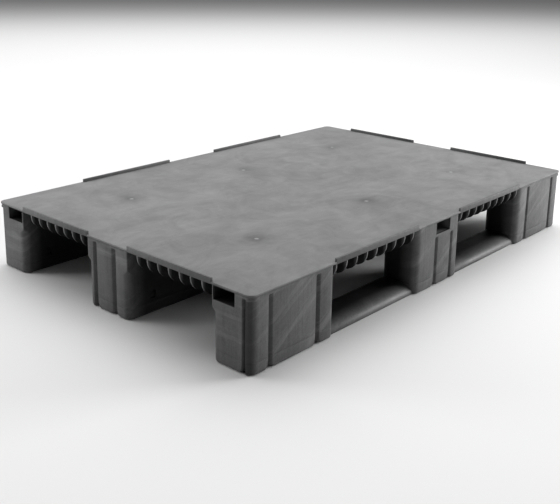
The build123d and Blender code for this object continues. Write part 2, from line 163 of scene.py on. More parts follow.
def piece_from(bm, name, material, node_names, thickness=0.0, edge=0.6 * MM):
    """Finish a mesh as a piece that rides on the pallet and stands for its CAD nodes."""
    if not thickness:
        bmesh.ops.remove_doubles(bm, verts=bm.verts, dist=MERGE)
        bmesh.ops.recalc_face_normals(bm, faces=bm.faces)
    mesh = bpy.data.meshes.new(name)
    bm.to_mesh(mesh)
    bm.free()
    piece = bpy.data.objects.new(name, mesh)
    bpy.context.scene.collection.objects.link(piece)
    if thickness:
        wall = piece.modifiers.new("wall", "SOLIDIFY")
        wall.thickness = thickness
        wall.offset = -1
        wall.use_rim = True
    if edge:
        bevel = piece.modifiers.new("edges", "BEVEL")
        bevel.width = edge
        bevel.segments = 2
        bevel.limit_method = "ANGLE"
        bevel.angle_limit = math.radians(38)
    apply_modifiers(piece)
    piece.data.shade_smooth()
    piece.data.set_sharp_from_angle(angle=math.radians(SHARP))
    piece.data.materials.clear()
    piece.data.materials.append(material)
    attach(piece, "root")
    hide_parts(*node_names)
    return piece


def apply_modifiers(piece):
    """Turn a piece's live modifiers into its mesh."""
    bpy.context.view_layer.update()
    shape = piece.evaluated_get(bpy.context.evaluated_depsgraph_get())
    mesh = bpy.data.meshes.new_from_object(shape)
    piece.modifiers.clear()
    piece.data = mesh


def block(bm, low, high, bevel=0.0):
    """Box between two corners, with softened edges."""
    verts = bmesh.ops.create_cube(bm, size=1.0)["verts"]
    bmesh.ops.scale(bm, vec=Vector(high) - Vector(low), verts=verts)
    bmesh.ops.translate(bm, vec=(Vector(high) + Vector(low)) / 2, verts=verts)
    if bevel:
        edges = list({edge for vert in verts for edge in vert.link_edges})
        bmesh.ops.bevel(bm, geom=edges, offset=bevel, segments=2, profile=0.5, affect="EDGES", material=-1)
    return verts


def loft(bm, rings):
    """Closed solid through rings with the same number of points, by repeated extrusion."""
    number = bm.verts.layers.int.new("number")
    face = bm.faces.new([bm.verts.new(point) for point in rings[0]])
    for index, vert in enumerate(face.verts):
        vert[number] = index
    for ring in rings[1:]:
        below = face
        made = bmesh.ops.extrude_face_region(bm, geom=[below], use_keep_orig=True)
        face = next(item for item in made["geom"] if isinstance(item, bmesh.types.BMFace))
        if ring is not rings[1]:
            bmesh.ops.delete(bm, geom=[below], context="FACES_ONLY")
        for vert in face.verts:
            vert.co = ring[vert[number]]
    return face


def arc(centre, radius, start):
    """Quarter turn in plan from the start angle in degrees."""
    points = []
    for step in range(ARC_STEPS + 1):
        angle = math.radians(start + 90 * step / ARC_STEPS)
        points.append((centre[0] + radius * math.cos(angle), centre[1] + radius * math.sin(angle)))
    return points


def face_run(start, end, axis, flutes, depth, flare, clear):
    """Points of the rounded flutes along one upright face, kept off the round corners at its ends."""
    sign = 1 if end[axis] > start[axis] else -1
    first, last = sorted((start[axis] + sign * clear[0], end[axis] - sign * clear[1]))
    inward = {(0, 1): (0, 1), (0, -1): (0, -1), (1, 1): (-1, 0), (1, -1): (1, 0)}[(axis, sign)]
    places = []
    for centre, width in flutes:
        before = width / 2 + max(min(flare, centre - width / 2 - first), 0.0)
        after = width / 2 + max(min(flare, last - centre - width / 2), 0.0)
        for step in range(FLUTE_STEPS + 1):
            share = 2 * step / FLUTE_STEPS - 1
            dip = depth * (0.5 + 0.5 * math.cos(math.pi * share))
            places.append((centre + share * (before if share < 0 else after), dip))
    places.sort(key=lambda place: sign * place[0])
    points = []
    for place, dip in places:
        point = [place if axis == index else start[index] for index in (0, 1)]
        points.append((point[0] + inward[0] * dip, point[1] + inward[1] * dip))
    return points


def foot_flare(z):
    """How far a flute has opened out at its foot, from 0 to 1."""
    rise = max(1 - z / FLARE_TOP, 0.0)
    return 1 - math.sqrt(1 - rise * rise)


def leg_ring(leg, z):
    """Outline of a leg or pad at one height."""
    shrink = leg["shrink"](z)
    depth = leg["flute_depth"](z)
    flare = foot_flare(z)
    radii = [max(radius - shrink, MM) for radius in leg["radii"](z)]
    x_low, y_low = (value + shrink for value in leg["low"])
    x_high, y_high = (value - shrink for value in leg["high"])
    corners = ((x_low, y_low), (x_high, y_low), (x_high, y_high), (x_low, y_high))
    ways = ((1, 1), (-1, 1), (-1, -1), (1, -1))
    runs = ((), leg.get("end_flutes", ()), leg.get("side_flutes", ()), ())
    tuck = leg.get("tuck") or radii[2]
    clear = ((radii[0], radii[1]), (radii[1], tuck), (radii[2], radii[3]), (radii[3], radii[0]))
    points = []
    for number, (corner, way, radius) in enumerate(zip(corners, ways, radii)):
        across, along = (radius, tuck) if number == 2 else (radius, radius)
        centre = (corner[0] + way[0] * across, corner[1] + way[1] * along)
        points += [(x, centre[1] + (y - centre[1]) * along / across)
                   for x, y in arc(centre, across, 180 + 90 * number)]
        points += face_run(corner, corners[(number + 1) % 4], number % 2, runs[number],
                           depth + FLARE_DEEP * flare, FLARE_WIDE * flare, clear[number])
    return [(x, y, z) for x, y in points]


def ramp(z, low, high, from_value, to_value):
    """Straight blend from one value to another between two heights."""
    share = min(max((z - low) / (high - low), 0.0), 1.0)
    return from_value + share * (to_value - from_value)


def leg_shape(low, high, radii, heads=(), flute_end=FLUTE_END, post=None, flute_depth=FLUTE_DEPTH, **runs):
    """Everything that a leg's outline depends on, at each height between floor and deck."""
    def radii_at(z):
        values = list(radii)
        for corner in heads:
            values[corner] = ramp(z, HEAD_LOW, HEAD_HIGH, radii[corner], SQUARE_R)
        if post is not None:
            values[post] += ramp(z, COLLAR[0] - COLLAR_STEP, COLLAR[0], 0.0, COLLAR_R - POST_R)
            values[post] += ramp(z, COLLAR[1], COLLAR[1] + COLLAR_STEP, 0.0, NECK_R - COLLAR_R)
        return values

    def shrink_at(z):
        rise = max(1 - z / FOOT_R, 0.0)
        return FOOT_R * (1 - math.sqrt(max(1 - rise * rise, 0.0)))

    def depth_at(z):
        return ramp(z, flute_end - FLUTE_FADE, flute_end, flute_depth, 0.0)

    return {"low": (low.x, low.y), "high": (high.x, high.y), "radii": radii_at,
            "shrink": shrink_at, "flute_depth": depth_at, **runs}


def faces_in(bm, low, high):
    """Faces whose middle lies between two corners."""
    found = []
    for face in bm.faces:
        middle = face.calc_center_median()
        if all(a - MERGE <= value <= b + MERGE for a, value, b in zip(low, middle, high)):
            found.append(face)
    return found


def join(bm, mesh):
    """Move a mesh into a piece that is being built."""
    bm.from_mesh(mesh)
    bpy.data.meshes.remove(mesh)


def open_faces(bm, faces):
    bmesh.ops.delete(bm, geom=faces, context="FACES")


def turn_half(bm):
    bmesh.ops.rotate(bm, verts=bm.verts, cent=(0, 0, 0), matrix=Matrix.Rotation(math.pi, 3, "Z"))


def flip_x(bm):
    bmesh.ops.scale(bm, vec=(-1, 1, 1), verts=bm.verts)
    bmesh.ops.reverse_faces(bm, faces=bm.faces)


# ---------------------------------------------------------------- legs

CORNER_RADII = (LEG_INNER_R, LEG_CORNER_R, POST_R, LEG_CORNER_R)
SIDE_RADII = (LEG_INNER_R, LEG_INNER_R, LEG_CORNER_R, LEG_CORNER_R)
END_RADII = (LEG_INNER_R, LEG_CORNER_R, LEG_CORNER_R, LEG_INNER_R)
CENTRE_RADII = (LEG_INNER_R,) * 4


def corner_shape(fluted):
    return leg_shape(CORNER_LOW, CORNER_HIGH, CORNER_RADII, heads=(1,), post=2,
                     side_flutes=SIDE_FLUTES, end_flutes=(CORNER_FLUTE,) if fluted else (),
                     tuck=POST_TUCK if fluted else None)


def side_shape():
    return leg_shape(SIDE_LOW, SIDE_HIGH, SIDE_RADII, flute_end=MID_FLUTE_END, flute_depth=MID_FLUTE_DEPTH,
                     side_flutes=MID_FLUTES)


def end_shape():
    return leg_shape(END_LOW, END_HIGH, END_RADII, heads=(1, 2), end_flutes=END_FLUTES)


def centre_shape():
    return leg_shape(CENTRE_LOW, CENTRE_HIGH, CENTRE_RADII)


LEG_HEIGHTS = sorted({SEAM + SEAM_GAP, *WINDOW_Z, HEAD_LOW, HEAD_HIGH, *SLOT[1],
                      HEAD_LOW + 3 * MM, HEAD_LOW + 7 * MM,
                      MID_FLUTE_END - FLUTE_FADE, MID_FLUTE_END, FLUTE_END - FLUTE_FADE, FLUTE_END,
                      COLLAR[0] - COLLAR_STEP, COLLAR[0], COLLAR[1], COLLAR[1] + COLLAR_STEP,
                      PLATE_UNDER})


def leg_walls(shape):
    """Leg wall from the seam up to the deck, open at both ends."""
    bm = bmesh.new()
    loft(bm, [leg_ring(shape, z) for z in LEG_HEIGHTS])
    open_faces(bm, [face for face in bm.faces if len(face.verts) > 8])
    bmesh.ops.remove_doubles(bm, verts=bm.verts, dist=MERGE)
    bmesh.ops.recalc_face_normals(bm, faces=bm.faces)
    return bm


def cut_box(bm, low, high):
    """Open a box-shaped hole in the walls, by cutting along its sides."""
    for axis in range(3):
        for place in (low[axis], high[axis]):
            at = [0.0, 0.0, 0.0]
            at[axis] = place
            normal = [1.0 if index == axis else 0.0 for index in range(3)]
            near = faces_in(bm, [value - CUT_MARGIN for value in low], [value + CUT_MARGIN for value in high])
            edges = {edge for face in near for edge in face.edges}
            verts = {vert for face in near for vert in face.verts}
            bmesh.ops.bisect_plane(bm, geom=near + list(edges) + list(verts), dist=MERGE,
                                   plane_co=at, plane_no=normal)
    open_faces(bm, faces_in(bm, low, high))


def cut_window(bm, x, y):
    cut_box(bm, (x - WINDOW_HALF, y - WALL, WINDOW_Z[0]), (x + WINDOW_HALF, y + WALL, WINDOW_Z[1]))


def add_sleeve(bm, low, high, open_axis, both_ends):
    """Box-shaped passage, open at one end or both."""
    faces = {face for vert in block(bm, low, high) for face in vert.link_faces}
    middle = (low[open_axis] + high[open_axis]) / 2
    ends = []
    for face in faces:
        away = face.calc_center_median()[open_axis] - middle
        if abs(away) > 0.49 * (high[open_axis] - low[open_axis]) and (both_ends or away > 0):
            ends.append(face)
    open_faces(bm, ends)


def cut_tube_slot(bm, x_low, x_high):
    """Open the slot for the tube in both end walls."""
    (y_low, y_high), (z_low, z_high) = SLOT
    for x, way in ((x_low, 1), (x_high, -1)):
        ends = sorted((x - way * MM, x + way * SLOT_CUT))
        cut_box(bm, (ends[0], y_low, z_low), (ends[1], y_high, z_high))


def cut_pocket(bm):
    """Open the pocket in the outer wall of a middle side leg."""
    z_low, z_high = SLOT[1]
    cut_box(bm, (POCKET[0], SIDE_HIGH.y - 2 * MM, z_low), (POCKET[1], SIDE_HIGH.y + MM, z_high))


def sleeve_mesh(low, high, open_axis, both_ends):
    """Lining of a slot or pocket, facing inwards as the outside of the leg does."""
    bm = bmesh.new()
    add_sleeve(bm, low, high, open_axis, both_ends)
    bmesh.ops.recalc_face_normals(bm, faces=bm.faces)
    bmesh.ops.reverse_faces(bm, faces=bm.faces)
    mesh = bpy.data.meshes.new("sleeve")
    bm.to_mesh(mesh)
    bm.free()
    return mesh


def tube_sleeve(x_low, x_high):
    (y_low, y_high), (z_low, z_high) = SLOT
    return sleeve_mesh((x_low + MM, y_low, z_low), (x_high - MM, y_high, z_high + MM), 0, True)


def pocket_sleeve():
    z_low, z_high = SLOT[1]
    return sleeve_mesh((POCKET[0], SIDE_HIGH.y - POCKET_DEPTH, z_low),
                       (POCKET[1], SIDE_HIGH.y - POCKET_LIP, z_high + MM), 1, False)


def make_legs(material):
    for name, fluted, mirrored, turned in (("corner_leg_rear_right", True, False, False),
                                           ("corner_leg_front_left", True, False, True),
                                           ("corner_leg_rear_left", False, True, False),
                                           ("corner_leg_front_right", False, True, True)):
        bm = leg_walls(corner_shape(fluted))
        cut_window(bm, CLIP_X, CORNER_LOW.y)
        cut_tube_slot(bm, CORNER_LOW.x, CORNER_HIGH.x)
        join(bm, tube_sleeve(CORNER_LOW.x, CORNER_HIGH.x))
        if mirrored:
            flip_x(bm)
        if turned:
            turn_half(bm)
        piece_from(bm, name + "_moulding", material, [name], WALL)
    for name, turned in (("side_leg_rear", False), ("side_leg_front", True)):
        bm = leg_walls(side_shape())
        cut_window(bm, 0, SIDE_LOW.y)
        cut_tube_slot(bm, SIDE_LOW.x, SIDE_HIGH.x)
        cut_pocket(bm)
        bmesh.ops.recalc_face_normals(bm, faces=bm.faces)
        join(bm, tube_sleeve(SIDE_LOW.x, SIDE_HIGH.x))
        join(bm, pocket_sleeve())
        if turned:
            turn_half(bm)
        piece_from(bm, name + "_moulding", material, [name], WALL)
    for name, turned in (("end_leg_right", False), ("end_leg_left", True)):
        bm = leg_walls(end_shape())
        cut_window(bm, CLIP_X, END_LOW.y)
        cut_window(bm, CLIP_X, END_HIGH.y)
        if turned:
            turn_half(bm)
        piece_from(bm, name + "_moulding", material, [name], WALL)
    bm = leg_walls(centre_shape())
    cut_window(bm, 0, CENTRE_LOW.y)
    cut_window(bm, 0, CENTRE_HIGH.y)
    piece_from(bm, "centre_leg_moulding", material, ["centre_leg"], WALL)


# ---------------------------------------------------------------- runners

PAD_HEIGHTS = [FOOT_R * (1 - math.cos(math.radians(step))) for step in range(0, 91, 15)]
PAD_HEIGHTS += [7.5 * MM, 9 * MM, 11 * MM, 13 * MM, 15.5 * MM, FLARE_TOP, SEAM]


def add_pad(bm, shape, mirrored=False, turned=False):
    """Pad under a leg: floor and wall, open at the top."""
    part = bmesh.new()
    top = loft(part, [leg_ring(shape, z) for z in PAD_HEIGHTS])
    bmesh.ops.remove_doubles(part, verts=part.verts, dist=MERGE)
    bmesh.ops.recalc_face_normals(part, faces=part.faces)
    bmesh.ops.inset_region(part, faces=[top], thickness=PAD_WALL, use_even_offset=False)
    well = bmesh.ops.extrude_face_region(part, geom=[top])
    bmesh.ops.translate(part, vec=(0, 0, WALL - SEAM),
                        verts=[item for item in well["geom"] if isinstance(item, bmesh.types.BMVert)])
    if top.is_valid:
        open_faces(part, [top])
    if mirrored:
        flip_x(part)
    if turned:
        turn_half(part)
    mesh = bpy.data.meshes.new("pad")
    part.to_mesh(mesh)
    part.free()
    join(bm, mesh)


def bar_ring(x, y_out, y_in, sides):
    """Section of a runner between two pads, with a rounded shoulder."""
    outer = [(y_out - back, rise) for back, rise in BAR_FOOT] + [(y_out, SHOULDER_LOW)]
    for step in range(1, SHOULDER_STEPS + 1):
        turn = math.pi / 2 * step / SHOULDER_STEPS
        outer.append((y_out - SHOULDER_REACH * (1 - math.cos(turn)),
                      SHOULDER_LOW + (BAR_TOP - SHOULDER_LOW) * math.sin(turn)))
    if sides == 2:
        points = outer + [(-y, z) for y, z in reversed(outer)]
    else:
        points = outer + [(y_in + back, BAR_TOP - drop) for back, drop in BAR_INNER]
        points += [(y_in + back, rise) for back, rise in reversed(BAR_FOOT)]
    return [(x, y, z) for y, z in points]


def add_bar(bm, x_low, x_high, y_out, y_in, sides):
    """Bar between two pads; its ends sink into the pads."""
    part = bmesh.new()
    loft(part, [bar_ring(x, y_out, y_in, sides) for x in (x_low - BAR_SINK, x_high + BAR_SINK)])
    mesh = bpy.data.meshes.new("bar")
    part.to_mesh(mesh)
    part.free()
    join(bm, mesh)


def add_tongue(bm, x, y_wall, inwards):
    """Clip tongue behind a leg wall, with its barb in the window."""
    near = y_wall + inwards * (WALL + TONGUE_GAP)
    for reach, heights, edge in ((TONGUE, TONGUE_Z, TONGUE_EDGE), (-BARB, BARB_Z, BARB_EDGE)):
        low, high = sorted((near, near + inwards * reach))
        block(bm, (x - TONGUE_HALF, low, heights[0]), (x + TONGUE_HALF, high, heights[1]), edge)


def runner_piece(name, material, pads, bars, tongues, turned=False):
    """One runner: its pads, the bars between them and its clip tongues."""
    bm = bmesh.new()
    for shape, mirrored, half_turned in pads:
        add_pad(bm, shape, mirrored, half_turned)
    for bar in bars:
        add_bar(bm, *bar)
    for tongue in tongues:
        add_tongue(bm, *tongue)
    if turned:
        turn_half(bm)
    piece_from(bm, name + "_moulding", material, [name], 0.0, PAD_EDGE)


def make_runners(material):
    mid = SIDE_HIGH.x
    end = CORNER_LOW.x
    for name, turned in (("runner_rear", False), ("runner_front", True)):
        runner_piece(name, material,
                     [(corner_shape(True), False, False), (corner_shape(False), True, False),
                      (side_shape(), False, False)],
                     [(mid, end, RUNNER_OUT, RUNNER_IN, 1), (-end, -mid, RUNNER_OUT, RUNNER_IN, 1)],
                     [(x, SIDE_LOW.y, 1) for x in (-CLIP_X, 0, CLIP_X)], turned)
    centre_tongues = [(x, y, way) for x in (-CLIP_X, 0, CLIP_X)
                      for y, way in ((CENTRE_LOW.y, 1), (CENTRE_HIGH.y, -1))]
    half = RUNNER_CENTRE_HALF
    runner_piece("runner_centre", material,
                 [(end_shape(), False, False), (end_shape(), False, True), (centre_shape(), False, False)],
                 [(mid, end, half, half, 2), (-end, -mid, half, half, 2)], centre_tongues)


# ---------------------------------------------------------------- deck

def deck_outline(z, inset=0.0):
    """Deck outline with a seat for each rim strip; the inset draws its outer edge in."""
    points = []
    for number in range(4):
        across, depth, edge_name = ((HALF_X, HALF_Y, "side"), (HALF_Y, HALF_X, "end"))[number % 2]
        spans = RIM_SPANS[edge_name]
        edge = -depth + inset
        run = [(-across + DECK_CORNER_R, edge)]
        for low, high in ((-spans[1], -spans[0]), (spans[0], spans[1])):
            run += [(low - RIM_SEAT, edge), (low - RIM_SEAT, -depth + RIM_W + RIM_SEAT),
                    (high + RIM_SEAT, -depth + RIM_W + RIM_SEAT), (high + RIM_SEAT, edge)]
        centre = (across - DECK_CORNER_R, -depth + DECK_CORNER_R)
        run += arc(centre, DECK_CORNER_R - inset, 270)
        turn = Matrix.Rotation(math.pi / 2 * number, 2)
        points += [tuple(turn @ Vector(point)) for point in run[:-1]]
    return [(x, y, z) for x, y in points]


def bump(away, height, radius):
    """Rounded rise in the middle that fades to nothing at the radius."""
    return height * (0.5 + 0.5 * math.cos(math.pi * min(away / radius, 1.0)))


def add_gate_mark(bm, x, y):
    """Shallow dish with a broken-off gate stub in its middle."""
    patch = [face for face in bm.faces if face.normal.z > 0.9
             and abs(face.calc_center_median().x - x) < MM and abs(face.calc_center_median().y - y) < MM]
    edges = list({edge for face in patch for edge in face.edges})
    bmesh.ops.subdivide_edges(bm, edges=edges, cuts=GATE_CUTS, use_grid_fill=True)
    height, pitch, reach = GATE_RIPPLE
    for vert in bm.verts:
        away = math.hypot(vert.co.x - x, vert.co.y - y)
        if vert.co.z > DECK_TOP - MM and away < GATE_PATCH * 0.8:
            ripple = height * math.cos(away / pitch) * max(0.0, 1 - away / reach)
            vert.co.z += bump(away, *GATE_STUB) - bump(away, *GATE_DISH) + ripple


def cut_across(bm, way, place):
    """Cut the whole mesh with a plane square to a direction."""
    geometry = list(bm.verts) + list(bm.edges) + list(bm.faces)
    bmesh.ops.bisect_plane(bm, geom=geometry, dist=MERGE, plane_co=way * place, plane_no=way)


def make_deck(material):
    """Closed plate with its gate marks."""
    bm = bmesh.new()
    rings = [deck_outline(PLATE_UNDER + rise, inset) for rise, inset in UNDER_EDGE]
    loft(bm, rings + [deck_outline(DECK_TOP)])
    bmesh.ops.recalc_face_normals(bm, faces=bm.faces)
    rim = [edge for edge in bm.edges if all(vert.co.z > DECK_TOP - MM for vert in edge.verts)]
    bmesh.ops.bevel(bm, geom=rim, offset=PLATE_EDGE, segments=3, profile=0.5, affect="EDGES", material=-1)
    for way, places in ((Vector((1, 0, 0)), GATES_X), (Vector((0, 1, 0)), GATES_Y)):
        for place in places:
            for side in (-1, 1):
                cut_across(bm, way, place + side * GATE_PATCH)
    bm.normal_update()
    for x in GATES_X:
        for y in GATES_Y:
            add_gate_mark(bm, x, y)
    piece_from(bm, "deck_plate", material, ["top_deck"], 0.0, 0.0)


def leg_spans(axis):
    """Where the three rows of legs stand along one axis; the outer two run past the deck's edge."""
    outer = CORNER_LOW[axis] - LEG_GAP
    past = 1.0
    return ((outer, past), (CENTRE_LOW[axis] - LEG_GAP, CENTRE_HIGH[axis] + LEG_GAP), (-past, -outer))


def leg_footprints():
    return [(x, y) for x in leg_spans(0) for y in leg_spans(1)]


def nose_rise(x, y):
    """Height that the foot of a rib stands above the rib floor near the deck edge."""
    rise = 0.0
    for reach, place in ((HALF_X - RIB_INSET, abs(x)), (HALF_Y - RIB_INSET, abs(y))):
        distance = max(reach - place, 0.0)
        if distance < RIB_NOSE:
            rest = RIB_NOSE - distance
            rise = max(rise, RIB_NOSE - math.sqrt(max(RIB_NOSE ** 2 - rest ** 2, 0.0)))
    return rise


def make_ribs(material):
    """Rib grid under the plate: strips cut from one sheet, then drawn down to their depth."""
    reach_x = HALF_X - RIB_INSET
    reach_y = HALF_Y - RIB_INSET
    strips_x = [(i * RIB_STEP_X - RIB / 2, i * RIB_STEP_X + RIB / 2) for i in range(-RIBS_X, RIBS_X + 1)]
    strips_y = [(i * RIB_STEP_Y - RIB / 2, i * RIB_STEP_Y + RIB / 2) for i in range(-RIBS_Y, RIBS_Y + 1)]
    for wall in (SLOT[0][1] + RIB / 2, SLOT[0][0] - RIB / 2):
        strips_y += [(side * wall - RIB / 2, side * wall + RIB / 2) for side in (-1, 1)]
    prints = leg_footprints()
    nose = [RIB_NOSE * (1 - math.cos(math.radians(step))) for step in RIB_NOSE_TURNS]
    cuts_x = [edge for strip in strips_x for edge in strip]
    cuts_x += [side * (reach_x - away) for side in (-1, 1) for away in nose]
    cuts_x += [edge for x, y in prints for edge in x if abs(edge) < reach_x]
    cuts_y = [edge for strip in strips_y for edge in strip]
    cuts_y += [side * (reach_y - away) for side in (-1, 1) for away in nose]
    cuts_y += [edge for x, y in prints for edge in y if abs(edge) < reach_y]
    bm = bmesh.new()
    bmesh.ops.create_grid(bm, x_segments=1, y_segments=1, size=1.0)
    bmesh.ops.scale(bm, vec=(reach_x, reach_y, 1), verts=bm.verts)
    bmesh.ops.translate(bm, vec=(0, 0, PLATE_UNDER), verts=bm.verts)
    for way, cuts in ((Vector((1, 0, 0)), cuts_x), (Vector((0, 1, 0)), cuts_y)):
        for cut in sorted(set(cuts)):
            cut_across(bm, way, cut)

    def is_rib(face):
        middle = face.calc_center_median()
        if any(x[0] < middle.x < x[1] and y[0] < middle.y < y[1] for x, y in prints):
            return False
        in_tube = SLOT[0][0] < abs(middle.y) < SLOT[0][1]
        across = any(low < middle.x < high for low, high in strips_x)
        along = any(low < middle.y < high for low, high in strips_y)
        return (across and not in_tube) or along

    open_faces(bm, [face for face in bm.faces if not is_rib(face)])
    made = bmesh.ops.extrude_face_region(bm, geom=list(bm.faces), use_keep_orig=True)
    for item in made["geom"]:
        if isinstance(item, bmesh.types.BMVert):
            item.co.z = RIB_FOOT + nose_rise(item.co.x, item.co.y)
    piece_from(bm, "deck_ribs", material, ["top_deck"], 0.0, 0.0)


# ---------------------------------------------------------------- rim strips

def make_rims(material):
    """Rim strips; each takes its height and length from its CAD node."""
    for name in sorted(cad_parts):
        if not name.startswith("rim_"):
            continue
        low, high = (Vector(corner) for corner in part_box(name))
        long_axis = 0 if high.x - low.x > high.y - low.y else 1
        cross = 1 - long_axis
        outer = high[cross] if high[cross] > 0 else low[cross]
        inner = outer - math.copysign(RIM_W, outer)
        low[cross], high[cross] = min(outer, inner), max(outer, inner)
        bm = bmesh.new()
        block(bm, low, high)
        bm.normal_update()
        piece_from(bm, name + "_strip", material, [name], 0.0, RIM_EDGE)


# ---------------------------------------------------------------- materials

def new_material(name):
    material = bpy.data.materials.new(name)
    material.use_nodes = True
    tree = material.node_tree
    return material, tree, tree.nodes["Principled BSDF"]


def noise_at(tree, vector, scale, detail=3.0, rough=0.55, distortion=0.0):
    node = tree.nodes.new("ShaderNodeTexNoise")
    node.inputs["Scale"].default_value = scale
    node.inputs["Detail"].default_value = detail
    node.inputs["Roughness"].default_value = rough
    node.inputs["Distortion"].default_value = distortion
    tree.links.new(vector, node.inputs["Vector"])
    return node.outputs["Fac"]


def stretched(tree, vector, scale, turn=(0, 0, 0)):
    node = tree.nodes.new("ShaderNodeMapping")
    node.inputs["Scale"].default_value = scale
    node.inputs["Rotation"].default_value = [math.radians(angle) for angle in turn]
    tree.links.new(vector, node.inputs["Vector"])
    return node.outputs["Vector"]


def remap(tree, value, low, high, out_low, out_high):
    node = tree.nodes.new("ShaderNodeMapRange")
    for name, number in (("From Min", low), ("From Max", high), ("To Min", out_low), ("To Max", out_high)):
        node.inputs[name].default_value = number
    tree.links.new(value, node.inputs["Value"])
    return node.outputs["Result"]


def maths(tree, kind, first, second):
    node = tree.nodes.new("ShaderNodeMath")
    node.operation = kind
    for socket, value in zip(node.inputs, (first, second)):
        if isinstance(value, (int, float)):
            socket.default_value = value
        else:
            tree.links.new(value, socket)
    return node.outputs["Value"]


def axes(tree, vector):
    node = tree.nodes.new("ShaderNodeSeparateXYZ")
    tree.links.new(vector, node.inputs["Vector"])
    return [node.outputs[name] for name in ("X", "Y", "Z")]


def total(tree, values):
    result = values[0]
    for value in values[1:]:
        result = maths(tree, "ADD", result, value)
    return result


def inner_shade_factor(tree, place, near, far, inner):
    """1 at the outer faces of the pallet, down to the inner value further in: the mask of the painted shade
    inside the pallet.
    """
    x, y, _ = axes(tree, place)
    result = inner
    for side, reach in ((x, HALF_X), (y, HALF_Y)):
        edge = remap(tree, maths(tree, "ABSOLUTE", side, 0.0), reach - far, reach - near, inner, 1.0)
        result = maths(tree, "MAXIMUM", edge, result)
    return result


def post_shade(tree, place):
    """Painted shade down the half of each corner post that meets the short side."""
    x, y, z = axes(tree, place)
    in_x = maths(tree, "SUBTRACT", HALF_X, maths(tree, "ABSOLUTE", x, 0.0))
    in_y = maths(tree, "SUBTRACT", HALF_Y, maths(tree, "ABSOLUTE", y, 0.0))
    aside = maths(tree, "SUBTRACT", in_x, in_y)
    near = remap(tree, maths(tree, "MAXIMUM", in_x, in_y), 17 * MM, 24 * MM, 1.0, 0.0)
    post_shade_amount = maths(tree, "MULTIPLY", remap(tree, aside, 1 * MM, 16 * MM, 0.7, 0.0), near)
    up = remap(tree, z, COLLAR[0] - COLLAR_STEP, COLLAR[0] + COLLAR_STEP, 1.0, 0.3)
    post_shade_amount = maths(tree, "MULTIPLY", post_shade_amount, up)
    return maths(tree, "SUBTRACT", 1.0, post_shade_amount)


def slot_tone(tree, place):
    """Unlit grey inside the slots of the tubes."""
    x, y, z = axes(tree, place)
    depth = maths(tree, "SUBTRACT", HALF_X, maths(tree, "ABSOLUTE", x, 0.0))
    across = maths(tree, "ABSOLUTE", maths(tree, "SUBTRACT", maths(tree, "ABSOLUTE", y, 0.0), TUBE_Y), 0.0)
    inside = maths(tree, "MULTIPLY", remap(tree, across, 26.5 * MM, 28 * MM, 1.0, 0.0),
                   remap(tree, z, SLOT[1][0] - 1.5 * MM, SLOT[1][0] - 0.2 * MM, 0.0, 1.0))
    shade = maths(tree, "MULTIPLY", inside, remap(tree, depth, 1 * MM, 5 * MM, 0.0, 0.85))
    return maths(tree, "SUBTRACT", 1.0, shade)


def finish_plastic(tree, shader, tone, rough, height, depth):
    """Send the tone, the roughness and the relief of a plastic to its shader."""
    colour = tree.nodes.new("ShaderNodeCombineColor")
    for channel, tint in (("Red", 1.0), ("Green", 1.0), ("Blue", 1.01)):
        tree.links.new(maths(tree, "MULTIPLY", tone, tint), colour.inputs[channel])
    tree.links.new(colour.outputs["Color"], shader.inputs["Base Color"])
    tree.links.new(rough, shader.inputs["Roughness"])
    shader.inputs["Specular IOR Level"].default_value = 0.32
    bump = tree.nodes.new("ShaderNodeBump")
    bump.inputs["Strength"].default_value = 0.6
    bump.inputs["Distance"].default_value = depth
    tree.links.new(height, bump.inputs["Height"])
    tree.links.new(bump.outputs["Normal"], shader.inputs["Normal"])


def scuffs(tree, place, turn, across, low, high, amount, thick=26.0):
    """Bands of rubbing that run one way over a face."""
    turned = stretched(tree, stretched(tree, place, (1, 1, 1), turn), (2.2, across, thick))
    return remap(tree, noise_at(tree, turned, 1.6, 5.0, 0.62, 0.5), low, high, 0.0, amount)


def gate_distance(tree, place):
    """Distance in plan from the nearest gate mark."""
    x, y, _ = axes(tree, place)
    side = maths(tree, "ABSOLUTE", x, 0.0)
    far = maths(tree, "ABSOLUTE", maths(tree, "SUBTRACT", side, GATES_X[2]), 0.0)
    along = maths(tree, "MINIMUM", side, far)
    over = maths(tree, "SUBTRACT", maths(tree, "ABSOLUTE", y, 0.0), GATES_Y[1])
    squares = maths(tree, "ADD", maths(tree, "MULTIPLY", along, along), maths(tree, "MULTIPLY", over, over))
    return maths(tree, "SQRT", squares, 0.0)


def under_edge_tone(tree, z):
    """Unlit grey on the rounding under the deck's edge."""
    band = maths(tree, "MULTIPLY", remap(tree, z, PLATE_UNDER - 0.3 * MM, PLATE_UNDER - 0.05 * MM, 0.0, 1.0),
                 remap(tree, z, PLATE_UNDER + 0.9 * MM, PLATE_UNDER + 2.2 * MM, 0.65, 0.0))
    return maths(tree, "SUBTRACT", 1.0, band)


